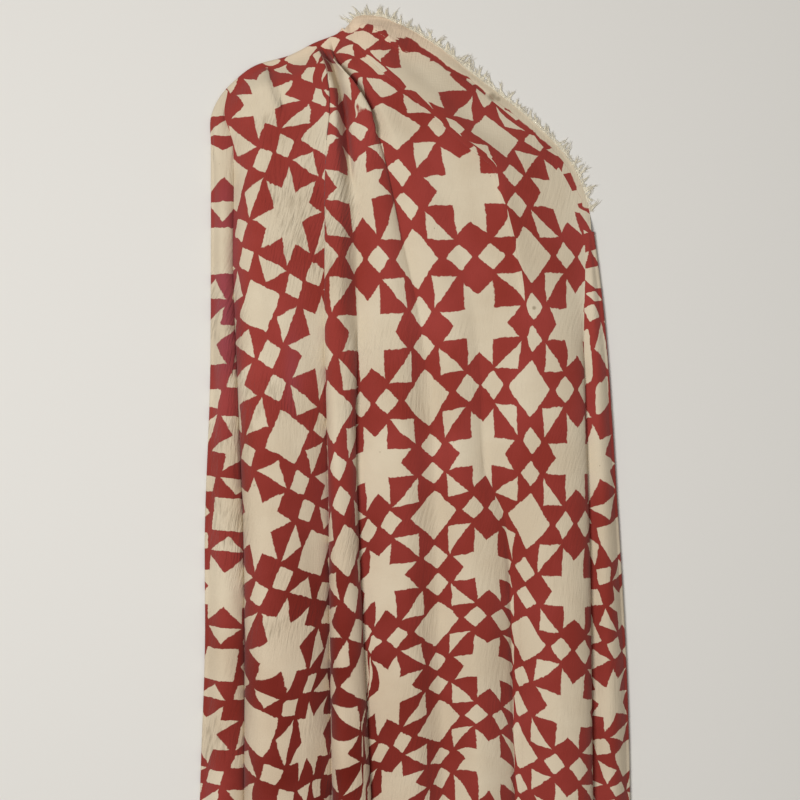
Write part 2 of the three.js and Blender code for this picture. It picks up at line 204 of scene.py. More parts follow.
# Small creases and ridges on the folds. A ridge has its height, the widths of its slopes to
# the left and the right of its path, and how far its top leans over to the left.
CREASES = [
    {
        "name": "shoulder_pleat", "height": 8, "left": 3, "right": 13, "over": 6,
        "path": [(-66, 891), (-48, 879), (-28, 862), (17, 824), (47, 794), (77, 769), (88, 740)],
    },
    {
        "name": "shoulder_pleat_foot", "height": 3, "left": 2.5, "right": 9, "over": 1,
        "path": [(77, 769), (90, 726), (101, 690), (107, 657), (113, 618)],
    },
    {
        "name": "top_fold", "height": 4, "left": 2, "right": 6, "over": 3,
        "path": [(-46, 909), (-32, 899), (-20, 889), (-8, 880)],
    },
    {
        "name": "margin_fold", "height": 4, "left": 2, "right": 5, "over": 3,
        "path": [(-76, 900), (-64, 907), (-54, 909), (-42, 908)],
    },
    {
        "name": "margin_line", "height": -1.2, "left": 2, "right": 2, "over": 0,
        "path": [(4, 888), (26, 870), (64, 846), (84, 828)],
    },
    {
        "name": "gather", "height": -9, "left": 6, "right": 3, "over": 0,
        "path": [
            (-98, 893), (-91, 882), (-84, 869), (-79, 855), (-75, 840), (-71, 821), (-69, 804),
            (-67, 784), (-65, 762), (-63, 740),
        ],
    },
    {
        "name": "gather_ridge", "height": 4, "left": 7, "right": 3, "over": -2,
        "path": [(-106, 894), (-99, 882), (-92, 866), (-87, 850)],
    },
    {
        "name": "tongue", "height": 6, "left": 7, "right": 2.5, "over": -4,
        "path": [
            (-88, 878), (-75, 858), (-66, 848), (-57, 835), (-48, 819), (-43, 800), (-38, 784),
        ],
    },
    {
        "name": "outer_ridge", "height": 5, "left": 9, "right": 2.5, "over": -4,
        "path": [(-157, 872), (-151, 860), (-147, 846), (-143, 832), (-139, 822), (-134, 812)],
    },
    {
        "name": "outer_dent", "height": -3, "left": 2, "right": 8, "over": 0,
        "path": [(-150, 874), (-145, 860), (-141, 846), (-136, 832), (-131, 818)],
    },
    {
        "name": "star_crease", "height": -1.6, "left": 2, "right": 2.5, "over": 0,
        "path": [(68, 506), (69, 486), (69, 466), (68, 448)],
    },
    {
        "name": "long_crease", "height": -3, "left": 2, "right": 3, "over": 0,
        "path": [(88, 420), (94, 360), (97, 278), (100, 140), (104, 10)],
    },
    {
        "name": "long_crease_beside", "height": -2, "left": 1.8, "right": 2, "over": 0,
        "path": [(94, 400), (101, 340), (104, 260), (105, 180), (108, 60)],
    },
]
CREASE_ENDS = 0.2  # share of a crease's length in which it rises at each end

# Lumps in the worn and washed cloth, in millimetres, how far they slant, and whether they
# keep to where it is crinkled.
LUMPS = [
    {"high": 0.8, "wide": 13, "long": 75, "slant": 0, "crinkled": True},
    {"high": 0.35, "wide": 6, "long": 34, "slant": 0.3, "crinkled": True},
    {"high": 0.8, "wide": 55, "long": 90, "slant": 0, "crinkled": False},
]


def smooth(v):
    """0 up to 0, 1 from 1 on, and a soft rise between them."""
    v = np.clip(v, 0, 1)
    return v**2 * (3 - 2 * v)


def from_to(v, start, end):
    """How far a value has come from start to end, as a soft rise from 0 to 1."""
    return smooth((v - start) / (end - start))


def between(pair, share):
    """What lies at a share of the way from the first of a pair to the second."""
    return pair[0] + (pair[1] - pair[0]) * share


def from_rows(rows, y):
    """A value from rows of (height, value), smoothly and without overshoot."""
    heights, values = np.array(sorted(rows), float).T
    y = np.clip(y, heights[0], heights[-1])
    i = np.clip(np.searchsorted(heights, y, side="right") - 1, 0, len(heights) - 2)
    return between((values[i], values[i + 1]), from_to(y, heights[i], heights[i + 1]))


def curve_through(points, steps=24):
    """A smooth line through points, as close points on it (centripetal Catmull-Rom)."""
    p = np.array(points, float)
    p = np.vstack([2 * p[0] - p[1], p, 2 * p[-1] - p[-2]])
    f = np.linspace(0, 1, steps, endpoint=False)[:, None]
    spans = []
    for p0, p1, p2, p3 in zip(p, p[1:], p[2:], p[3:]):
        d0, d1, d2 = (np.linalg.norm(b - a) ** 0.5 for a, b in ((p0, p1), (p1, p2), (p2, p3)))
        leave = ((p1 - p0) / d0 - (p2 - p0) / (d0 + d1) + (p2 - p1) / d1) * d1
        arrive = ((p2 - p1) / d1 - (p3 - p1) / (d1 + d2) + (p3 - p2) / d2) * d1
        ends = (2 * f**3 - 3 * f**2 + 1) * p1 + (3 * f**2 - 2 * f**3) * p2
        spans.append(ends + (f**3 - 2 * f**2 + f) * leave + (f**3 - f**2) * arrive)
    return np.vstack([*spans, p[-2]])


def run_lengths(line):
    """How far along an open line each of its points is."""
    return np.concatenate([[0], np.cumsum(np.linalg.norm(np.diff(line, axis=0), axis=1))])


def on_line(line, run, at):
    """The points that lie so far along a line."""
    return np.stack([np.interp(at, run, line[:, axis]) for axis in (0, 1)], axis=-1)


def x_at(curve, y):
    return np.interp(y, curve[::-1, 1], curve[::-1, 0])


shoulder = curve_through(SHOULDER)
shoulder_run = run_lengths(shoulder)


def on_shoulder(place):
    """The point at a share of the way along the shoulder outline."""
    return on_line(shoulder, shoulder_run, np.asarray(place) * shoulder_run[-1])


def place_of(point):
    places = np.linspace(0, 1, 401)
    return places[np.argmin(np.linalg.norm(on_shoulder(places) - point, axis=1))]


def line_down(path, t):
    """The plan points of a line at the shares t of its run, and its place on the shoulder."""
    place = place_of(path[0])
    curve = curve_through([on_shoulder(place), *path[1:]])
    top = on_shoulder(place)[1]
    y = np.where(t > 0, between((GATHER_END, top), t), GATHER_END * (1 + t))
    return np.stack([x_at(curve, y), y], axis=1), place


def z_down(z, y):
    return from_rows(list(zip(LEVELS, z)), y)


# t is 1 at the shoulder, 0 at GATHER_END and -1 at the lower cut end.
t = np.concatenate([np.linspace(1, 0, ROWS_ABOVE + 1), np.linspace(0, -1, ROWS_BELOW + 1)[1:]])
line_names = list(LINES)
lines = [line_down(LINES[name]["path"], t) for name in line_names]
line_z = [z_down(LINES[name]["z"], plan[:, 1]) for name, (plan, _) in zip(line_names, lines)]
right_plan = lines[-1][0]
line_z[-1] = between((ON_FLOOR, TURN_TOP), from_to(right_plan[:, 1], *RAW_EDGE_END))
broad_plan, broad_place = line_down(BROAD_CREST, t)

columns, places, fold_starts = [], [], []
for i, (name, fold) in enumerate(FOLDS.items()):
    fold_starts.append(len(columns))
    (left, left_place), (right, right_place) = lines[i], lines[i + 1]
    crest = between((left, right), fold["crest"])
    crest_place = between((left_place, right_place), fold["crest"])
    if name == "broad":
        crest, crest_place = broad_plan, broad_place
    crest_z = z_down(fold["z"], crest[:, 1])
    low = from_to(crest[:, 1], *UPRIGHT_FROM)
    lower = from_to(crest[:, 1], *LAP_CHANGE)
    flanks = [
        (left, line_z[i], left_place, LEFT_FLANKS[name]),
        (right, line_z[i + 1], right_place, RIGHT_FLANKS[name]),
    ]
    for side, side_z, side_place, flank in flanks:
        faces = flank["faces"]
        upright = between(flank["upright"], low)
        steps = range(faces, 0, -1) if side is left else range(faces)
        span = np.maximum(np.linalg.norm(side - crest, axis=1), 0.01)
        lap = np.minimum(between(flank["lap"], lower) * upright, span * LAP_SHARE)
        for k in steps:
            a = (k / faces) ** flank["bunch"] * math.pi / 2
            across = (1 - upright) * a * 2 / math.pi + upright * math.sin(a)
            down = (1 - upright) * (1 + math.cos(2 * a)) / 2 + upright * math.cos(a)
            reach = across + lap * math.sin(2 * a) / span
            plan = between((crest, side), reach[:, None])
            columns.append(np.column_stack([plan, between((side_z, crest_z), down)]))
            places.append(between((crest_place, side_place), across[0]))
columns.append(np.column_stack([right_plan, line_z[-1]]))
places.append(lines[-1][1])
fold_starts.append(len(columns) - 1)
grid = np.stack(columns, axis=1)
places = np.array(places)

# The gathered end bends to the shoulder outline and comes down to its edge.
edge_plan = on_shoulder(places)
pull = np.maximum(0, t) ** 2
grid[:, :, :2] += (edge_plan - grid[0, :, :2])[None] * pull[:, None, None]
under_ends = lines[line_names.index("low_crease")][1]  # from there on the edge is raw
past = (places - under_ends) * shoulder_run[-1]
edge_z = between((TURN_TOP, ON_FLOOR), smooth(past / RAW_EDGE_LIFT))
from_edge = np.linalg.norm(grid[:, :, :2] - edge_plan[None], axis=2)
risen = smooth(from_edge / RISE)


def beside(points, path):
    """For each plan point: distance from a path that runs down, share along it, and its normal.

    The normal points to higher x, and the distance is positive on that side.
    """
    line = curve_through(path, 6)
    run = run_lengths(line)
    nearest = np.full(len(points), 1e9)
    along = np.zeros(len(points))
    normal = np.zeros((len(points), 2))
    for i, (a, b) in enumerate(zip(line, line[1:])):
        step = b - a
        share = np.clip((points - a) @ step / (step @ step), 0, 1)
        away = points - a - share[:, None] * step
        far = np.linalg.norm(away, axis=1)
        own = np.array([-step[1], step[0]]) / np.linalg.norm(step)
        nearer = far < np.abs(nearest)
        nearest = np.where(nearer, far * np.where(away @ own > 0, 1, -1), nearest)
        along = np.where(nearer, between(run[i : i + 2], share) / run[-1], along)
        normal[nearer] = own
    return nearest, along, normal


def soft_noise(x, y, wide, long, seed):
    """Smooth even noise from -1 to 1 with lumps of about that width and length."""
    u, v = x / wide + 500, y / long + 500
    i, j = np.floor(u).astype(int), np.floor(v).astype(int)
    fu, fv = smooth(u - i), smooth(v - j)
    table = np.random.default_rng(seed).uniform(-1, 1, 4096)
    pick = lambda a, b: table[(a * 73 + b * 179) % 4096]
    low = pick(i, j) * (1 - fu) + pick(i + 1, j) * fu
    high = pick(i, j + 1) * (1 - fu) + pick(i + 1, j + 1) * fu
    return low * (1 - fv) + high * fv


# Beside the raw edge the cloth slopes down from the broad fold in one even dome.
dome = slice(fold_starts[5] + LEFT_FLANKS["broad"]["faces"], None)
span = np.linalg.norm(np.diff(grid[:, dome, :2], axis=1), axis=2)
span = np.concatenate([np.zeros((len(t), 1)), np.cumsum(span, axis=1)], axis=1)
share = span / span[:, -1:]
even = between((grid[:, -1:, 2], grid[:, dome, 2][:, :1]), 1 - share**DOME)
grid[:, dome, 2] = between((grid[:, dome, 2], even), from_to(grid[:, dome, 1], *DOME_FROM))
grid[:, :, 2] = between((edge_z, grid[:, :, 2]), risen)

# Creases, and the slight unevenness of cloth that has been worn and washed.
plan = grid[:, :, :2].reshape(-1, 2).copy()
columns_in = np.minimum(np.arange(grid.shape[1]), np.arange(grid.shape[1])[::-1])
kept = smooth(from_edge / RELIEF_RISE) * smooth(columns_in / SIDE_COLUMNS)[None]
relief = np.zeros(len(plan))
leaning = np.zeros((len(plan), 2))
for crease in CREASES:
    away, along, normal = beside(plan, crease["path"])
    ends = smooth(along / CREASE_ENDS) * smooth((1 - along) / CREASE_ENDS)
    width = np.where(away > 0, crease["right"], crease["left"])
    relief += crease["height"] * np.exp(-((away / width) ** 2)) * ends
    lean = crease["over"] * np.exp(-((away / (width / 2)) ** 2)) * ends
    leaning -= normal * lean[:, None]
x, y = plan.T
crinkled = from_to(x, *CRINKLED_ACROSS) * from_to(y, *CRINKLED_DOWN)
crinkled = between((LEAST_CRINKLED, 1), crinkled)
for seed, lump in enumerate(LUMPS, 1):
    high = lump["high"] * (crinkled if lump["crinkled"] else 1)
    relief += high * soft_noise(x + lump["slant"] * y, y, lump["wide"], lump["long"], seed)
grid[:, :, 2] = np.maximum(grid[:, :, 2] + relief.reshape(kept.shape) * kept, ON_FLOOR)
grid[:, :, :2] += leaning.reshape(*kept.shape, 2) * kept[:, :, None]

# The mid-surface: the upper layer, then a strip that turns round each side and lies under.
row_count, column_count = grid.shape[:2]
points = list(grid.reshape(-1, 3))
at = lambda row, column: row * column_count + column
r, c = np.meshgrid(np.arange(row_count - 1), np.arange(column_count - 1), indexing="ij")
quads = [np.stack([at(r, c), at(r + 1, c), at(r + 1, c + 1), at(r, c + 1)], axis=-1).reshape(-1, 4)]
fold_of_column = np.searchsorted(fold_starts[1:], np.arange(column_count - 1), side="right")
quad_folds = [np.tile(fold_of_column, row_count - 1)]
laid_flat = []  # points of layers that lie on the surface
grown_from = {}  # for each point of a turned strip: its edge point and its offset out


def outward(edge, spread):
    """The plan directions out of the cloth, evened over so many edge points each way."""
    ids = np.arange(len(edge))
    along = edge[np.minimum(ids + spread, len(edge) - 1)] - edge[np.maximum(ids - spread, 0)]
    along = along[:, :2] / np.linalg.norm(along[:, :2], axis=1)[:, None]
    return np.column_stack([along[:, 1], -along[:, 0]])


def turn_under(edge, edge_folds, widths):
    """Adds the strip that turns round an edge, which runs anticlockwise round the cloth."""
    start = np.array([points[i] for i in edge])
    out, out_evened = outward(start, TURN_SPREAD), outward(start, UNDER_SPREAD)
    last = np.array(edge)
    steps = [(k / TURN_STEPS * math.pi, 0) for k in range(1, TURN_STEPS + 1)]
    steps += [(math.pi, k / UNDER_STEPS) for k in range(1, UNDER_STEPS + 1)]
    for a, share in steps:
        wide = from_rows(widths, start[:, 1]) * share
        plan = start[:, :2] + out * (TURN_RADIUS * math.sin(a)) - out_evened * wide[:, None]
        z = np.full(len(edge), ON_FLOOR + TURN_RADIUS * (1 + math.cos(a)))
        z = np.minimum(z, start[:, 2] + 1e-6)
        ids = np.arange(len(points), len(points) + len(edge))
        points.extend(np.column_stack([plan, z]))
        cloth_run = TURN_RADIUS * a + wide
        for i, from_id in enumerate(edge):
            grown_from[ids[i]] = (from_id, out_evened[i] * cloth_run[i])
        if a == math.pi:
            laid_flat.extend(ids)
        quads.append(np.column_stack([last[:-1], ids[:-1], ids[1:], last[1:]]))
        quad_folds.append(np.array(edge_folds))
        last = ids


first_raw = int(np.argmax(places > under_ends - 1e-6))
left_edge = [at(0, c) for c in range(first_raw, 0, -1)] + [at(r, 0) for r in range(row_count)]
left_folds = [fold_of_column[c - 1] for c in range(first_raw, 0, -1)] + [0] * (row_count - 1)
turn_under(left_edge, left_folds, LEFT_UNDER)
lowest_raw = int(np.argmax(right_plan[:, 1] <= RAW_EDGE_END[1]))
right_edge = [at(r, column_count - 1) for r in range(row_count - 1, lowest_raw - 1, -1)]
turn_under(right_edge, [len(FOLDS) - 1] * (len(right_edge) - 1), RIGHT_UNDER)
raw_edge = [at(0, c) for c in range(first_raw, column_count)]
raw_edge += [at(r, column_count - 1) for r in range(1, lowest_raw)]
raw_edge = [i for i in raw_edge if points[i][2] < ON_FLOOR + 0.01]
laid_flat.extend(raw_edge)

points = np.array(points)
quads = np.vstack(quads)
quad_folds = np.concatenate(quad_folds)

# Where the print lies. It repeats in squares of 137 mm, with a star at each whole column and
# row and a big diamond at each half column and half row. Each run gives its column, its first
# row and the plan places that follow it down the cloth at every half row. Each mark is a
# single place, such as a star's tip or a diamond's corner: column, row and where it lies.
RELIEF_SHARE = 0.8  # how much of a fold's slope takes up print
PRINT = [
    {
        "folds": ["side"],
        "runs": [
            (1, -1, [(-192, 770)]),
            (0.5, -0.5, [(-195, 679)]),
            (0, 0, [(-222, 585), (-191, 542), (-164, 491)]),
            (-0.5, 1.5, [(-185, 414)]),
            (-1, 2, [(-192, 341)]),
            (-1.5, 2.5, [(-197, 264)]),
            (-2, 3, [(-215, 196), (-188, 160)]),
        ],
        "marks": [(1.25, -1.25, (-192, 795)), (1.362, -1.362, (-192, 812))],
    },
    {
        "folds": ["shoulder"],
        "runs": [
            (-0.5, -1.5, [(-117, 878), (-100, 844), (-90, 798)]),
            (-1, -1, [(-152, 827), (-141, 776), (-126, 714), (-110, 648), (-92, 587), (-85, 510)]),
            (-1.5, -0.5, [
                (-184, 747), (-172, 685), (-156, 624), (-141, 558), (-126, 492), (-111, 433),
                (-100, 377),
            ]),
            (-2, 1, [
                (-189, 532), (-175, 471), (-158, 408), (-143, 344), (-130, 288), (-114, 236),
                (-102, 193),
            ]),
            (-2.5, 3.5, [(-157, 202), (-137, 147)]),
        ],
        "marks": [
            (-0.675, -1.115, (-122, 849)), (-0.885, -1.325, (-151, 863)),
            (-1.115, -1.325, (-173, 854)), (-1.325, -1.115, (-180, 836)),
            (-1.325, -0.885, (-184, 813)), (-1.115, -0.675, (-155, 789)),
            (-0.885, -0.675, (-137, 803)), (-0.675, -0.885, (-116, 830)),
            (-0.849, -1.362, (-142, 862)), (-0.638, -1.362, (-129, 868)),
            (-0.638, -1.151, (-124, 856)), (-0.722, -1.5, (-131, 873)),
            (-0.5, -1.278, (-109, 866)), (-0.278, -1.5, (-97, 886)),
            (-0.325, -1.115, (-95, 868)), (-0.325, -0.885, (-94, 851)),
            (-0.5, -1.122, (-106, 856)), (-0.5, -0.878, (-95, 833)),
            (-2.325, 2.885, (-167, 282)), (-2.115, 3.325, (-126, 242)),
            (-2.362, 3.151, (-159, 243)), (-2.151, 3.362, (-136, 233)),
            (-2.362, 3.362, (-150, 225)), (-2.226, 3, (-155, 269)),
            (-2.325, 3.115, (-158, 253)), (-2.115, 3.115, (-133, 260)),
            (-2.115, 3.675, (-117, 213)), (-1.885, 3.675, (-105, 232)),
            (-1.885, 3.885, (-101, 216)), (-1.885, 4.115, (-92, 198)),
            (-2.115, 4.115, (-108, 174)), (-2.115, 3.885, (-112, 191)),
            (-1.885, 4.325, (-88, 175)), (-2.115, 4.325, (-101, 158)),
            (-2.325, 4.115, (-116, 151)), (-2.325, 3.885, (-124, 168)),
            (-2.122, 3.5, (-123, 224)), (-1.878, 3.5, (-105, 248)),
            (-2.122, 4.5, (-99, 143)), (-2.151, 4.362, (-105, 149)),
            (-2.362, 4.151, (-117, 141)), (-2.362, 4.362, (-109, 130)),
            (-2.5, 3.878, (-143, 157)), (-2.278, 3.5, (-136, 213)),
            (-2.5, 3.722, (-151, 175)), (-2.5, 3.278, (-170, 233)),
        ],
    },
    {
        "folds": ["narrow", "front", "chest", "broad"],
        "runs": [
            (-1, 4, [(-95, 181)]),
            (-0.5, 1.5, [(-84, 516), (-75, 447), (-68, 379), (-59, 317), (-49, 254)]),
            (0, 0, [
                (-56, 741), (-49, 671), (-45, 597), (-41, 527), (-40, 466), (-36, 403), (-35, 350),
                (-31, 289), (-27, 235), (-24, 184), (-21, 135),
            ]),
            (0.5, -1.5, [
                (-54, 893), (-36, 854), (-22, 803), (-11, 741), (0, 672), (8, 600), (12, 531),
                (17, 470), (19, 415), (22, 358), (21, 306), (23, 256), (24, 207), (25, 162),
            ]),
            (1, -1, [
                (5, 850), (34, 802), (51, 740), (60, 674), (64, 606), (66, 545), (68, 479),
                (71, 424), (71, 365), (74, 315), (72, 266), (74, 216), (73, 170),
            ]),
            (1.5, -1, [
                (71, 861), (81, 796), (100, 741), (115, 675), (118, 608), (114, 541), (116, 473),
                (114, 408), (110, 346), (111, 290), (105, 240), (105, 180),
            ]),
            (2, -1, [
                (110, 830), (135, 789), (147, 735), (162, 674), (159, 604), (161, 540), (161, 471),
                (160, 407), (159, 338), (157, 281), (156, 220), (151, 166), (150, 110),
            ]),
        ],
        "marks": [
            (0.115, -0.675, (-62, 816)), (0.122, -0.5, (-59, 801)), (-0.122, -0.5, (-78, 810)),
            (0.362, -0.638, (-44, 820)), (0.151, -0.638, (-60, 823)), (0.325, -0.885, (-57, 859)),
            (0.115, -0.325, (-49, 780)), (-0.325, -0.115, (-89, 759)), (-0.325, 0.115, (-88, 729)),
            (0.325, -0.115, (-31, 762)), (0.325, 0.115, (-25, 735)), (-0.115, 0.325, (-63, 699)),
            (0.115, 0.325, (-38, 696)), (0.278, -1.5, (-70, 895)), (0.722, -1.5, (-37, 892)),
            (0.5, -1.722, (-53, 901)), (0.5, -1.278, (-50, 880)), (0.151, -1.362, (-79, 879)),
            (0.638, -1.362, (-45, 880)), (0.849, -1.362, (-24, 881)), (0.638, -1.151, (-34, 868)),
            (0.5, -1.122, (-40, 864)), (0.5, -0.878, (-32, 842)), (0.885, -1.24, (-15, 881)),
            (0.885, -1.115, (-14, 863)), (1, -0.774, (13, 828)), (1.226, -1, (35, 857)),
            (1.115, -0.885, (24, 837)), (1.115, -0.675, (29, 821)), (1.325, -0.885, (51, 843)),
            (1.362, -0.638, (58, 810)), (1.362, -0.849, (57, 836)), (1.151, -0.638, (37, 814)),
            (0.878, -0.5, (24, 804)), (1.122, -0.5, (40, 803)),
            (-0.638, 2.849, (-76, 334)), (-0.675, 2.885, (-78, 325)), (-0.675, 3.115, (-75, 296)),
            (-0.638, 3.151, (-69, 290)), (-0.638, 3.362, (-66, 266)), (-0.849, 3.362, (-82, 262)),
            (-0.785, 3.5, (-78, 243)), (-0.722, 3.5, (-74, 244)), (-0.5, 3.278, (-53, 283)),
            (-0.638, 3.638, (-57, 226)), (-0.849, 3.638, (-82, 226)), (-0.675, 3.885, (-57, 196)),
            (-0.675, 4.115, (-55, 171)), (-0.885, 4.325, (-76, 140)),
            (-0.151, 3.638, (-45, 271)), (-0.115, 3.675, (-40, 266)), (0.115, 3.675, (-19, 275)),
            (0.325, 3.885, (7, 260)), (0.325, 4.115, (7, 240)), (0.115, 4.325, (-15, 206)),
            (-0.115, 4.325, (-37, 195)),
            (-0.325, 4.115, (-49, 202)), (0.115, 3.885, (-15, 254)), (0.115, 4.115, (-15, 228)),
            (-0.115, 4.115, (-40, 216)), (-0.115, 4.675, (-34, 160)), (0.115, 4.675, (-13, 172)),
            (0.115, 4.885, (-11, 155)), (0.325, 4.885, (9, 161)), (0.325, 5.115, (11, 143)),
        ],
    },
    {
        "folds": ["edge"],
        "runs": [
            (-0.5, -1.5, [(182, 653), (180, 628)]),
            (0, 0, [(180, 469)]),
            (0.5, 0.5, [(197, 390), (185, 342)]),
            (1, 1, [(207, 322)]),
            (1, 2, [(197, 228)]),
        ],
        "marks": [
            (-0.115, -0.325, (178, 505)), (0.115, -0.325, (199, 496)), (0.325, -0.115, (203, 466)),
            (0.325, 0.115, (201, 441)), (0.362, 0.151, (201, 434)), (0.362, 0.362, (196, 410)),
            (0.151, 0.362, (176, 421)), (0.278, 0.5, (182, 403)), (0.5, 0.278, (205, 414)),
            (0.5, 0.722, (198, 366)), (0.5, 0.878, (189, 353)), (0.5, 1.122, (181, 332)),
            (0.638, 1.151, (191, 321)), (0.638, 1.362, (184, 304)), (0.849, 1.362, (203, 297)),
            (0.878, 1.5, (201, 280)), (0.849, 1.638, (196, 270)), (0.885, 1.675, (198, 261)),
            (1.115, 1.675, (213, 260)), (1.325, 1.885, (214, 238)), (1.325, 2.115, (214, 214)),
            (1.115, 2.325, (191, 196)), (0.885, 2.325, (178, 212)), (0.675, 1.885, (177, 252)),
            (1.362, 2.362, (209, 188)), (1.151, 2.362, (197, 191)), (1.122, 2.5, (188, 182)),
            (1.278, 2.5, (200, 174)), (1.5, 2.278, (216, 188)), (1.5, 2.722, (209, 151)),
            (1.151, 2.638, (183, 168)), (1.362, 2.638, (201, 158)), (1.362, 2.849, (193, 145)),
        ],
    },
]

# Cloth that is tucked out of sight along a crease: its path, and rows of (height, width).
TUCKED = [
    (BROAD_CREST, [(900, 20), (800, 20), (740, 14), (670, 8), (600, 6), (570, 0)]),
    (LINES["low_crease"]["path"], [(500, 0), (440, 6), (350, 10), (230, 14), (0, 16)]),
    (
        [(-46, 330), (-46, 250), (-49, 225), (-53, 205), (-51, 150), (-45, 0)],
        [(340, 0), (270, 10), (190, 24), (0, 28)],
    ),
]
TUCK_WIDE = 3

SPLINE_SIZE = 100  # millimetres that count as one in the spline
SPLINE_LOOSE = 0.002  # how far it may pass beside a mark


def spline_parts(places, knots):
    squared = ((places[:, None] - knots[None]) ** 2).sum(axis=2) / SPLINE_SIZE**2
    bends = squared * np.log(squared + 1e-12)
    return np.column_stack([bends, np.ones(len(places)), places / SPLINE_SIZE])


def spline_through(knots, values, places):
    """A thin-plate spline through values at knots, read at places."""
    n = len(knots)
    parts = spline_parts(knots, knots)
    system = np.zeros((n + 3, n + 3))
    system[:n] = parts
    system[:n, :n] += np.eye(n) * SPLINE_LOOSE
    system[n:, :n] = parts[:, n:].T
    weights = np.linalg.solve(system, np.vstack([values, np.zeros((3, 2))]))
    return spline_parts(places, knots) @ weights


steps = np.diff(grid, axis=1)
slope_extra = np.linalg.norm(steps, axis=2) - np.linalg.norm(steps[:, :, :2], axis=2)
taken_up = np.concatenate([np.zeros((row_count, 1)), np.cumsum(slope_extra, axis=1)], axis=1)
fold_names = list(FOLDS)
panel_of_fold = np.zeros(len(FOLDS), int)
print_of_panel = []
for number, panel in enumerate(PRINT):
    members = [fold_names.index(name) for name in panel["folds"]]
    panel_of_fold[members] = number
    first, last = fold_starts[members[0]], fold_starts[members[-1] + 1]
    middle = (first + last) // 2
    across = grid[:, :, 0] + RELIEF_SHARE * (taken_up - taken_up[:, middle][:, None])
    if len(members) > 1:
        for path, widths in TUCKED:
            beyond = grid[:, :, 0] - x_at(curve_through(path), grid[:, :, 1])
            tucked = from_to(beyond, -TUCK_WIDE / 2, TUCK_WIDE / 2)
            across = across + from_rows(widths, grid[:, :, 1]) * tucked
    unfolded = np.stack([across, grid[:, :, 1]], axis=2)
    own = (slice(None), slice(first, last + 1))
    own_plan = grid[own][:, :, :2].reshape(-1, 2)
    own_unfolded = unfolded[own].reshape(-1, 2)
    marks = list(panel["marks"])
    for column, first_row, run in panel["runs"]:
        marks.extend((column, first_row + i / 2, place) for i, place in enumerate(run))
    knots, values = [], []
    for column, row, place in marks:
        nearest = np.argmin(np.linalg.norm(own_plan - place, axis=1))
        knots.append(own_unfolded[nearest] + place - own_plan[nearest])
        values.append((column, row))
    upper = unfolded.reshape(-1, 2)
    turned = [upper[from_id] + offset for from_id, offset in grown_from.values()]
    everywhere = np.vstack([upper, turned])
    print_of_panel.append(spline_through(np.array(knots), np.array(values), everywhere))
corner_print = np.array(print_of_panel)[panel_of_fold[quad_folds][:, None], quads]

# The sheet gets its thickness along its normals, and its cut edges are closed.
across_quads = points[quads[:, 2]] - points[quads[:, 0]]
quad_normals = np.cross(across_quads, points[quads[:, 3]] - points[quads[:, 1]])
normals = np.zeros_like(points)
for corner in range(4):
    np.add.at(normals, quads[:, corner], quad_normals)
normals[laid_flat, :2] = 0
normals[points[:, 1] < 1e-6, 1] = 0
normals /= np.linalg.norm(normals, axis=1)[:, None]
face_points = points + normals * THICK / 2
back_points = points - normals * THICK / 2
count = len(points)

edges = np.stack([quads, np.roll(quads, -1, axis=1)], axis=2).reshape(-1, 2)
codes = np.sort(edges, axis=1) @ (count, 1)
_, firsts, uses = np.unique(codes, return_index=True, return_counts=True)
open_edges = firsts[uses == 1]
a, b = edges[open_edges].T
rim = np.column_stack([b, a, a + count, b + count])
rim_ends = np.column_stack([(open_edges % 4 + 1) % 4, open_edges % 4])
rim_print = corner_print[(open_edges // 4)[:, None], rim_ends[:, [0, 1, 1, 0]]]

faces = np.vstack([quads, quads[:, ::-1] + count, rim])
prints = np.vstack([corner_print, corner_print[:, ::-1], rim_print])
reverse = np.repeat([0.0, 1.0, 0.5], [len(quads), len(quads), len(rim)])
prints = np.concatenate([prints, np.repeat(reverse, 4).reshape(-1, 4, 1)], axis=2)

# Along the raw edge runs a margin that the blocks left bare, and inside it for a stretch a
# plain red band. Both widths go by the share of the raw edge from the shoulder down.
MARGIN = [
    (0, 11), (0.125, 11), (0.145, 15), (0.188, 19), (0.203, 9), (0.26, 11), (0.36, 11),
    (0.46, 7), (0.65, 8), (0.8, 6.5), (1, 6),
]
PLAIN_BAND = [(0.188, 0), (0.203, 14), (0.22, 16), (0.27, 6), (0.36, 4.5), (0.41, 5), (0.46, 0)]
raw_line = points[raw_edge][:, :2]
away, along, _ = beside(points[:, :2], raw_line[::4])
past_margin = np.abs(away) - from_rows(MARGIN, along)
past_band = past_margin - from_rows(PLAIN_BAND, along)
crinkled = between((0.3, 1), from_to(points[:, 0], 40, -90))
beside_raw = np.column_stack([past_margin, past_band, crinkled])

# The red is deeper towards the lower left, partly deeper dye and partly painted shade, and has
# a painted sheen of a cooler tone at the left edge and on one crest. Painted light makes the
# cream a little pinker towards the shoulder.
# Painted sheen of a cooler tone on the red, at these places:
SHEEN_PATCHES = [
    {"place": (-190, 640), "wide": 12, "long": 110, "much": 0.9},
    {"place": (-122, 555), "wide": 8, "long": 40, "much": 0.5},
]
x, y = points[:, 0], points[:, 1]
# Deeper dye and painted shade towards the lower left, strongest round the folds left of middle.
deep_ink_and_shade = from_to(y, 640, 200) * between((0.25, 1), np.exp(-(((x + 90) / 80) ** 2)))
red_sheen = np.zeros(len(points))
for sheen_patch in SHEEN_PATCHES:
    off_x, off_y = x - sheen_patch["place"][0], y - sheen_patch["place"][1]
    red_sheen += sheen_patch["much"] * np.exp(-((off_x / sheen_patch["wide"]) ** 2) - (off_y / sheen_patch["long"]) ** 2)
# Painted light: the cream is lighter and pinker near the shoulder top.
shoulder_painted_light = from_to(y, 855, 905)
# Deep ink with painted shade, painted sheen and painted light, one in each place.
ink_and_light = np.column_stack([deep_ink_and_shade, red_sheen, shoulder_painted_light])

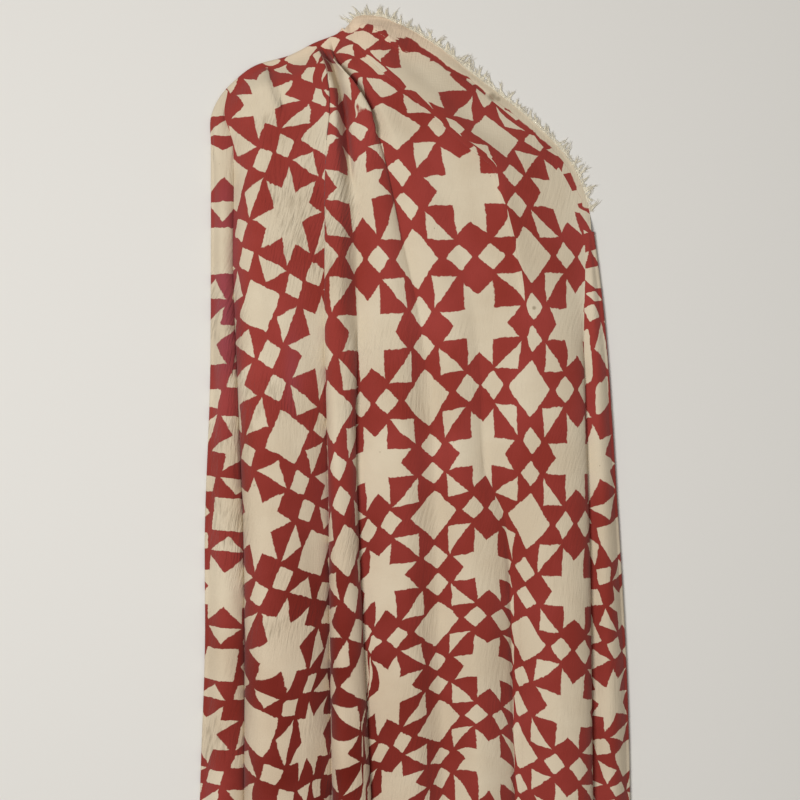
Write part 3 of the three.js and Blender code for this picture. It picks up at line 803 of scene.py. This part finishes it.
cloth_mesh = bpy.data.meshes.new("printed_cloth")
cloth_mesh.from_pydata(in_frame(np.vstack([face_points, back_points])).tolist(), [], faces.tolist())
cloth_attributes = [
    ("print", "CORNER", prints),
    ("beside_raw_edge", "POINT", np.tile(beside_raw, (2, 1))),
    ("ink_and_light_tones", "POINT", np.tile(ink_and_light, (2, 1))),
]
for name, domain, vectors in cloth_attributes:
    attribute = cloth_mesh.attributes.new(name, "FLOAT_VECTOR", domain)
    attribute.data.foreach_set("vector", vectors.ravel())
cloth_mesh.polygons.foreach_set("use_smooth", np.arange(len(faces)) < 2 * len(quads))
cloth_mesh.update()
cloth = bpy.data.objects.new("printed_cloth", cloth_mesh)
bpy.context.scene.collection.objects.link(cloth)


def linear(code):
    """An sRGB hex colour as linear numbers."""
    values = [int(code[i : i + 2], 16) / 255 for i in (0, 2, 4)]
    return (*[v / 12.92 if v <= 0.04045 else ((v + 0.055) / 1.055) ** 2.4 for v in values], 1)


def add_node(tree, kind, values=(), output=None, **settings):
    """Adds a node with its settings, sets or links its inputs, and gives an output of it."""
    made = tree.nodes.new("ShaderNode" + kind)
    for name, setting in settings.items():
        setattr(made, name, setting)
    sockets = [socket for socket in made.inputs if socket.enabled]
    named = values.items() if isinstance(values, dict) else enumerate(values)
    for key, value in named:
        socket = sockets[key] if isinstance(key, int) else next(s for s in sockets if s.name == key)
        if isinstance(value, bpy.types.NodeSocket):
            tree.links.new(value, socket)
        else:
            socket.default_value = value
    if output:
        return made.outputs[output]
    return next((socket for socket in made.outputs if socket.enabled), made)


# Block-printed cotton cambric: a matte plain weave. The red ground is a mordant print that
# soaks in a little unevenly, and the stars and diamonds are the bare cream cotton.
CREAM = "D4C6AD"
CREAM_SHADE = "C9B99F"
# Painted light for the cream near the shoulder top:
CREAM_PAINTED_LIGHT = "E8CBAE"
# Painted shade for the cream where the red is deep:
CREAM_PAINTED_SHADE = "B89B80"
RED = "983A33"
RED_DEEP = "8A3026"
# Deeper dye and painted shade for the red at the lower left:
RED_RICH_AND_SHADED = "641507"
# Painted sheen on the red:
RED_SHEEN = "93444C"
# Stains and specks, and painted shade in the crinkles' furrows:
STAIN_AND_SHADE = "8A7A62"
RED_REVERSE = 0.55  # how strongly the red shows on the back

# The cut of the blocks, in shares of the repeat. The edges waver, by rows of how many times
# in a repeat and how far, and swell a little where the block was pressed harder.
STAR_ARM, STAR_WAIST, STAR_SLANT = 0.115, 0.226, 0.86
TRIANGLE_OUT, TRIANGLE_IN, DIAMOND, SMALL_DIAMOND, SMALL_OFF = 0.362, 0.513, 0.222, 0.102, 0.122
ROUNDING = 0.007  # how round the corners are cut
WAVERS = [(3.2, 0.05), (14, 0.022), (45, 0.014)]
SWELLS, SWELL_FAR = 2.3, 0.035
INK_EDGE = 0.004  # half of the width over which the ink ends
BAND_SLOPE = -0.01  # from millimetres past the red band to about such shares

# How many of each lie in a metre of cloth: ragged bits of the margin's edge (11 mm), patches
# of stronger ink (70 mm), cells with a speck (18 mm), and places wrung out (90 mm).
RAGGED, PATCHES, SPECKS, WRUNG = 90, 14, 55, 11
RAGGED_DEEP = 6.0  # millimetres
MARGIN_EDGE = 0.4

# Marks that the cloth has picked up: the plan place, its width and its depth.
STAINS = [
    {"place": (78, 836), "wide": 5.5, "deep": 0.75},
    {"place": (84, 834), "wide": 3.5, "deep": 0.6},
    {"place": (119, 622), "wide": 2.6, "deep": 0.7},
    {"place": (-160, 445), "wide": 1.6, "deep": 0.5},
    {"place": (-138, 247), "wide": 1.5, "deep": 0.8},
]
STAIN_CORE = 0.4  # share of a stain's width that has its full depth
SPECK_WIDE, SPECK_SHARE, SPECK_DEEP = 0.035, 0.35, 0.6  # width and number in shares of a cell

cotton = bpy.data.materials.new("block_printed_cotton_cambric")
cotton.use_nodes = True
tree = cotton.node_tree
tree.nodes.clear()

print_place = add_node(tree, "Attribute", output="Vector", attribute_name="print")
place = add_node(tree, "TexCoord", output="Object")
flat_print = add_node(tree, "VectorMath", [print_place, (1, 1, 0)], operation="MULTIPLY")

# The blocks are cut by hand, so their edges waver by a millimetre or two.
wobbled = flat_print
for times, far in WAVERS:
    noise = {"Vector": flat_print, "Scale": times, "Detail": 1}
    waver = add_node(tree, "TexNoise", noise, output="Color")
    waver = add_node(tree, "VectorMath", [waver, (0.5, 0.5, 0.5)], operation="SUBTRACT")
    waver = add_node(tree, "VectorMath", {"Vector": waver, "Scale": far}, operation="SCALE")
    wobbled = add_node(tree, "VectorMath", [wobbled, waver], operation="ADD")
split = add_node(tree, "SeparateXYZ", [wobbled]).node
x_off = add_node(tree, "Math", [split.outputs["X"], 0.5], operation="PINGPONG")
y_off = add_node(tree, "Math", [split.outputs["Y"], 0.5], operation="PINGPONG")
more = add_node(tree, "Math", [x_off, y_off], operation="MAXIMUM")
less = add_node(tree, "Math", [x_off, y_off], operation="MINIMUM")
both = add_node(tree, "Math", [x_off, y_off], operation="ADD")


def rounded(off):
    """The distance back from the half-way line, with a rounded foot."""
    back = add_node(tree, "Math", [0.5, off], operation="SUBTRACT")
    back = add_node(tree, "CombineXYZ", [back, ROUNDING])
    return add_node(tree, "VectorMath", [back], output="Value", operation="LENGTH")


# Each shape as a number that is below 0 inside it.
arm = add_node(tree, "Math", [less, STAR_ARM], operation="SUBTRACT")
notch = add_node(tree, "Math", [less, -STAR_SLANT, more], operation="MULTIPLY_ADD")
notch = add_node(tree, "Math", [notch, STAR_WAIST], operation="SUBTRACT")
star = add_node(tree, "Math", [arm, notch, ROUNDING], operation="SMOOTH_MAX")
outside = add_node(tree, "Math", [more, TRIANGLE_OUT], operation="SUBTRACT")
beyond_corner = add_node(tree, "Math", [TRIANGLE_IN, both], operation="SUBTRACT")
triangle = add_node(tree, "Math", [outside, beyond_corner, ROUNDING], operation="SMOOTH_MAX")
back_x, back_y = rounded(x_off), rounded(y_off)
diamond = add_node(tree, "Math", [back_x, back_y], operation="ADD")
diamond = add_node(tree, "Math", [diamond, -DIAMOND], operation="ADD")
small = add_node(tree, "Math", [less, SMALL_OFF], operation="SUBTRACT")
small = add_node(tree, "CombineXYZ", [small, ROUNDING])
small = add_node(tree, "VectorMath", [small], output="Value", operation="LENGTH")
small = add_node(tree, "Math", [small, rounded(more)], operation="ADD")
small = add_node(tree, "Math", [small, -SMALL_DIAMOND - ROUNDING / 2], operation="ADD")
shapes = star
for shape in (triangle, diamond, small):
    shapes = add_node(tree, "Math", [shapes, shape], operation="MINIMUM")
swell = add_node(tree, "TexNoise", {"Vector": flat_print, "Scale": SWELLS, "Detail": 2})
swell = add_node(tree, "Math", [swell, -0.5], operation="ADD")
shapes = add_node(tree, "Math", [swell, SWELL_FAR, shapes], operation="MULTIPLY_ADD")

# The margin stays bare, with a ragged inner edge, and the band beside it is all red.
raw_place = add_node(tree, "Attribute", output="Vector", attribute_name="beside_raw_edge")
raw_place = add_node(tree, "SeparateXYZ", [raw_place]).node
ragged = add_node(tree, "TexNoise", {"Vector": place, "Scale": RAGGED, "Detail": 3})
ragged = add_node(tree, "Math", [ragged, RAGGED_DEEP, -RAGGED_DEEP / 2], operation="MULTIPLY_ADD")
band = add_node(tree, "Math", [raw_place.outputs["Y"], ragged], operation="ADD")
band = add_node(tree, "Math", [band, BAND_SLOPE], operation="MULTIPLY")
shapes = add_node(tree, "Math", [shapes, band], operation="MAXIMUM")
ink_ends = {"Value": shapes, "From Min": -INK_EDGE, "From Max": INK_EDGE}
inked = add_node(tree, "MapRange", ink_ends, interpolation_type="SMOOTHSTEP")
past_margin = add_node(tree, "Math", [raw_place.outputs["X"], ragged], operation="ADD")
margin_ends = {"Value": past_margin, "From Min": -MARGIN_EDGE, "From Max": MARGIN_EDGE}
past_margin = add_node(tree, "MapRange", margin_ends)
inked = add_node(tree, "Math", [inked, past_margin], operation="MULTIPLY")
back = add_node(tree, "SeparateXYZ", [print_place], output="Z")
back = add_node(tree, "Math", [back, RED_REVERSE - 1, 1], operation="MULTIPLY_ADD")
inked = add_node(tree, "Math", [inked, back], operation="MULTIPLY")

# The ink and the bare cotton both lie in patches. Where the red is deep the cream is darker
# too, as painted shade.
patches = add_node(tree, "TexNoise", {"Vector": place, "Scale": PATCHES, "Detail": 4})
patches = add_node(tree, "MapRange", {"Value": patches, "From Min": 0.35, "From Max": 0.65})
red = add_node(tree, "Mix", [patches, linear(RED), linear(RED_DEEP)], data_type="RGBA")
cream = add_node(tree, "Mix", [patches, linear(CREAM), linear(CREAM_SHADE)], data_type="RGBA")
ink_and_light_place = add_node(tree, "Attribute", output="Vector", attribute_name="ink_and_light_tones")
ink_and_light_place = add_node(tree, "SeparateXYZ", [ink_and_light_place]).node
mottle = add_node(tree, "Math", [patches, 0.35, 0.75], operation="MULTIPLY_ADD")
deep_ink_and_shade = add_node(tree, "Math", [ink_and_light_place.outputs["X"], mottle], operation="MULTIPLY")
red_sheen = add_node(tree, "Math", [ink_and_light_place.outputs["Y"], mottle], operation="MULTIPLY")
# The red gets deeper dye and painted shade at the lower left, and a painted sheen in places.
for share, tone in ((deep_ink_and_shade, RED_RICH_AND_SHADED), (red_sheen, RED_SHEEN)):
    red = add_node(tree, "Mix", [share, red, linear(tone)], data_type="RGBA")
# Painted light makes the cream pinker near the shoulder top, and painted shade darkens it where the
# red is deep.
for much, share, tone in ((0.6, ink_and_light_place.outputs["Z"], CREAM_PAINTED_LIGHT), (0.45, deep_ink_and_shade, CREAM_PAINTED_SHADE)):
    share = add_node(tree, "Math", [share, much], operation="MULTIPLY")
    cream = add_node(tree, "Mix", [share, cream, linear(tone)], data_type="RGBA")

on_plan = add_node(tree, "VectorMath", [place, (1, 1, 0)], operation="MULTIPLY")
for stain in STAINS:
    middle = tuple(in_frame((*stain["place"], 0)))
    away = add_node(tree, "VectorMath", [on_plan, middle], output="Value", operation="DISTANCE")
    rim, core = stain["wide"] * MM, stain["wide"] * MM * STAIN_CORE
    fade = {"Value": away, "From Min": rim, "From Max": core, "To Max": stain["deep"]}
    depth = add_node(tree, "MapRange", fade)
    cream = add_node(tree, "Mix", [depth, cream, linear(STAIN_AND_SHADE)], data_type="RGBA")

# Bits of husk are left in the yarn, as brown specks up to a millimetre wide.
specks = add_node(tree, "TexVoronoi", {"Vector": place, "Scale": SPECKS}).node
near = add_node(tree, "Math", [specks.outputs["Distance"], SPECK_WIDE], operation="LESS_THAN")
few = add_node(tree, "SeparateXYZ", [specks.outputs["Color"]], output="X")
few = add_node(tree, "Math", [few, SPECK_SHARE], operation="LESS_THAN")
near = add_node(tree, "Math", [near, few], operation="MULTIPLY")
near = add_node(tree, "Math", [near, SPECK_DEEP], operation="MULTIPLY")
cream = add_node(tree, "Mix", [near, cream, linear(STAIN_AND_SHADE)], data_type="RGBA")

# Crinkles of 2 to 3 mm run up the cloth, where it has been wrung out, and lean to the right.
# Their furrows are darkened with painted shade.
CRINKLES = (380, 52, 0)  # in a metre across and a metre down
CRINKLES_LEAN = 0.2  # radians
SWAYS, SWAY_FAR = 6, 0.05  # they sway to and fro, so many times in a metre and so far
sway = add_node(tree, "TexNoise", {"Vector": place, "Scale": SWAYS, "Detail": 1}, output="Color")
sway = add_node(tree, "VectorMath", [sway, (SWAY_FAR, 0, 0)], operation="MULTIPLY")
sway = add_node(tree, "VectorMath", [place, sway], operation="ADD")
lean = {"Vector": sway, "Angle": CRINKLES_LEAN}
sway = add_node(tree, "VectorRotate", lean, rotation_type="Z_AXIS")
crinkles = add_node(tree, "VectorMath", [sway, CRINKLES], operation="MULTIPLY")
crinkles = add_node(tree, "TexNoise", {"Vector": crinkles, "Scale": 1, "Detail": 3})
wrung = add_node(tree, "TexNoise", {"Vector": place, "Scale": WRUNG, "Detail": 1})
wrung = add_node(tree, "MapRange", {"Value": wrung, "From Min": 0.4, "From Max": 0.62})
wrung = add_node(tree, "Math", [wrung, raw_place.outputs["Z"]], operation="MULTIPLY")
crinkles = add_node(tree, "Math", [crinkles, wrung], operation="MULTIPLY")
# Painted shade in the furrows of the crinkles.
furrow_painted_shade = {"Value": crinkles, "From Min": 0.45, "From Max": 0.7, "To Max": 0.5}
furrow_painted_shade = add_node(tree, "MapRange", furrow_painted_shade)
cream = add_node(tree, "Mix", [furrow_painted_shade, cream, linear(STAIN_AND_SHADE)], data_type="RGBA")
colour = add_node(tree, "Mix", [inked, cream, red], data_type="RGBA")

# Threads are 0.3 mm apart in life and drawn at 1.1 mm, so that the weave shows.
heights = []
for threads in ((900, 120, 0), (120, 900, 0)):
    streaks = add_node(tree, "VectorMath", [place, threads], operation="MULTIPLY")
    heights.append(add_node(tree, "TexNoise", {"Vector": streaks, "Scale": 1, "Detail": 2}))
weave = add_node(tree, "Math", heights, operation="ADD")
bump = add_node(tree, "Bump", {"Strength": 0.8, "Distance": 0.003, "Height": crinkles})
woven = {"Strength": 0.4, "Distance": 0.0006, "Height": weave, "Normal": bump}
cloth_finish = {
    "Base Color": colour, "Roughness": 0.9, "Specular IOR Level": 0.2, "Sheen Weight": 0.12,
    "Normal": add_node(tree, "Bump", woven),
}
add_node(tree, "OutputMaterial", {"Surface": add_node(tree, "BsdfPrincipled", cloth_finish)})
cloth_mesh.materials.append(cotton)

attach(cloth, "root")
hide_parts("cloth")


# The fringe is what the raw edge frays into: loose warp threads of undyed cotton, some of
# them tangled into small locks, and a few loosened weft yarns that run along the edge.
THREAD_GAP = 0.5
THREAD_LONG = (3, 7)
THREAD_WIDE = 0.6  # about twice a real thread, so that it shows
THREAD_SHARES = (0.3, 0.65, 1.0)  # where a short thread bends
LOCK_GAP = 5
LOCK_LONG = (7, 16)
LOCK_THREADS = (6, 14)
LOCK_ROOTS = 1.7  # how widely the roots of its threads are spread
LOCK_STEPS = 6
UPWARD = 0.4  # the locks lean from the edge's normal towards the gathered end, in radians
ROOT_IN = 0.6  # how far inside the edge the threads start
EDGE_YARNS = 4
YARN_STEP = 3

random = np.random.default_rng(7)
raw_run = run_lengths(raw_line)
fringe_points, fringe_faces = [], []


def strand(path, widths):
    """A thread of three sides round a path that ends in a point."""
    start = len(fringe_points)
    path = np.asarray(path)
    for here, ahead, wide in zip(path, path[1:], widths):
        along = (ahead - here) / np.linalg.norm(ahead - here)
        side = np.array([along[1], -along[0], 0])
        for turn in (math.pi / 2, math.pi * 7 / 6, math.pi * 11 / 6):
            out = side * math.cos(turn) + np.array([0, 0, math.sin(turn)])
            fringe_points.append(here + out * wide / 2)
    rings = len(path) - 1
    fringe_points.append(path[-1])
    tip = len(fringe_points) - 1
    ring = lambda i, k: start + 3 * i + k % 3
    for i in range(rings - 1):
        for k in range(3):
            fringe_faces.append((ring(i, k), ring(i, k + 1), ring(i + 1, k + 1), ring(i + 1, k)))
    for k in range(3):
        fringe_faces.append((ring(rings - 1, k), ring(rings - 1, k + 1), tip))
    fringe_faces.append((ring(0, 2), ring(0, 1), ring(0, 0)))


def raw_at(run):
    """The point so far along the raw edge, and the direction out of the cloth there."""
    behind, here, ahead = on_line(raw_line, raw_run, [run - 4, run, run + 4])
    along = (ahead - behind) / np.linalg.norm(ahead - behind)
    return here, np.array([-along[1], along[0]])


def rooted(root, out):
    """The start of a thread, just inside the edge."""
    return np.array([*(root - out * ROOT_IN), ON_FLOOR + 0.1])


# Each lock is a wisp whose threads start side by side and meet near its tip.
for lock in np.arange(2, raw_run[-1], LOCK_GAP):
    lock += random.uniform(-3, 3)
    lock_root, out = raw_at(lock)
    away = math.atan2(out[1], out[0]) + UPWARD + random.normal(0, 0.3)
    long = random.uniform(*LOCK_LONG)
    curl = random.normal(0, 0.6)
    high = random.uniform(0.5, 2)
    for _ in range(random.integers(*LOCK_THREADS)):
        root, _ = raw_at(lock + random.normal(0, LOCK_ROOTS))
        reach = long * random.uniform(0.6, 1.1)
        stray = random.normal(0, 0.09)
        spot = lock_root.copy()
        path = [rooted(root, out)]
        for share in np.linspace(0, 1, LOCK_STEPS + 1)[1:]:
            turn = away + (curl + stray) * (share - 0.3) + stray
            spot = spot + np.array([math.cos(turn), math.sin(turn)]) * reach / LOCK_STEPS
            gathered = spot + (root - lock_root) * (1 - share) ** 1.4
            z = 0.3 + high * math.sin(math.pi * share * 0.9) + random.uniform(0, 0.3)
            path.append(np.array([*gathered, z]))
        strand(path, np.linspace(THREAD_WIDE, THREAD_WIDE * 0.5, LOCK_STEPS))

# Between them stand short single threads.
for run in np.arange(0, raw_run[-1], THREAD_GAP):
    root, out = raw_at(run + random.uniform(-0.3, 0.3))
    turn = math.atan2(out[1], out[0]) + random.normal(0.2, 0.5)
    long = random.uniform(*THREAD_LONG)
    path = [rooted(root, out)]
    for share in THREAD_SHARES:
        turn += random.normal(0, 0.35)
        step = np.array([math.cos(turn), math.sin(turn)]) * long / 3
        z = 0.3 + 0.5 * math.sin(math.pi * share * 0.9)
        path.append(np.array([*(path[-1][:2] + step), z]))
    strand(path, np.full(3, THREAD_WIDE * 0.8))

# The weft yarns that have come loose wander along the edge, on top of it.
for _ in range(EDGE_YARNS):
    runs = np.arange(random.uniform(0, 60), raw_run[-1] - random.uniform(0, 60), YARN_STEP)
    path = []
    off = random.uniform(-1, 1.5)
    for run in runs:
        root, out = raw_at(run)
        off = np.clip(off + random.normal(0, 0.45), -1.2, 3)
        path.append(np.array([*(root + out * off), THICK + 0.35 + random.uniform(0, 0.3)]))
    strand(path, np.full(len(path), THREAD_WIDE))

fringe_mesh = bpy.data.meshes.new("fringe")
fringe_mesh.from_pydata(in_frame(fringe_points).tolist(), [], fringe_faces)
fringe_mesh.shade_smooth()
fringe = bpy.data.objects.new("fringe", fringe_mesh)
bpy.context.scene.collection.objects.link(fringe)

# Undyed cotton yarn: soft, matte and a little paler than the printed cloth's cream.
yarn = bpy.data.materials.new("undyed_cotton_yarn")
yarn.use_nodes = True
tree = yarn.node_tree
tree.nodes.clear()
place = add_node(tree, "TexCoord", output="Object")
fibres = {"Vector": place, "Scale": 400, "Detail": 2}  # lumps of 2.5 mm along the yarns
uneven = add_node(tree, "TexNoise", fibres)
colour = add_node(tree, "Mix", [uneven, linear("F1EBDA"), linear("DDD2B8")], data_type="RGBA")
yarn_finish = {
    "Base Color": colour, "Roughness": 0.95, "Specular IOR Level": 0.2, "Sheen Weight": 0.2,
}
add_node(tree, "OutputMaterial", {"Surface": add_node(tree, "BsdfPrincipled", yarn_finish)})
fringe_mesh.materials.append(yarn)

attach(fringe, "root")
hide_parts("frayed_end")


# The floor is a plain pale board. A large soft light hangs to the left of the cloth, and a
# weak one to its right takes the edge off the shadows.
FLOOR_REACH = 10
LIGHTS = [
    {"name": "key", "place": (-0.9, 0.2, 2.25), "wide": 0.9, "watts": 44},
    {"name": "fill", "place": (0.9, -0.2, 2.4), "wide": 1.6, "watts": 5},
]
ROOM_LIGHT = 0.29

floor_mesh = bpy.data.meshes.new("floor")
corners = [(FLOOR_REACH * x, FLOOR_REACH * y, 0) for x, y in ((-1, -1), (1, -1), (1, 1), (-1, 1))]
floor_mesh.from_pydata(corners, [], [(0, 1, 2, 3)])
floor = bpy.data.objects.new("floor", floor_mesh)
bpy.context.scene.collection.objects.link(floor)
board = bpy.data.materials.new("pale_painted_board")
board.use_nodes = True
tree = board.node_tree
tree.nodes.clear()
paint = add_node(tree, "BsdfPrincipled", {"Base Color": linear("DAD7D1"), "Roughness": 0.85})
add_node(tree, "OutputMaterial", {"Surface": paint})
floor_mesh.materials.append(board)

for row in LIGHTS:
    light = bpy.data.objects.new(row["name"], bpy.data.lights.new(row["name"], "AREA"))
    light.data.size = row["wide"]
    light.data.energy = row["watts"]
    light.location = row["place"]
    light.rotation_euler = Vector(row["place"]).to_track_quat("Z", "Y").to_euler()
    bpy.context.scene.collection.objects.link(light)
world = bpy.data.worlds.new("studio")
bpy.context.scene.world = world
world.use_nodes = True
room = world.node_tree.nodes["Background"].inputs
room["Color"].default_value = linear("F4F2EE")
room["Strength"].default_value = ROOM_LIGHT
bpy.context.scene.view_settings.view_transform = "Standard"
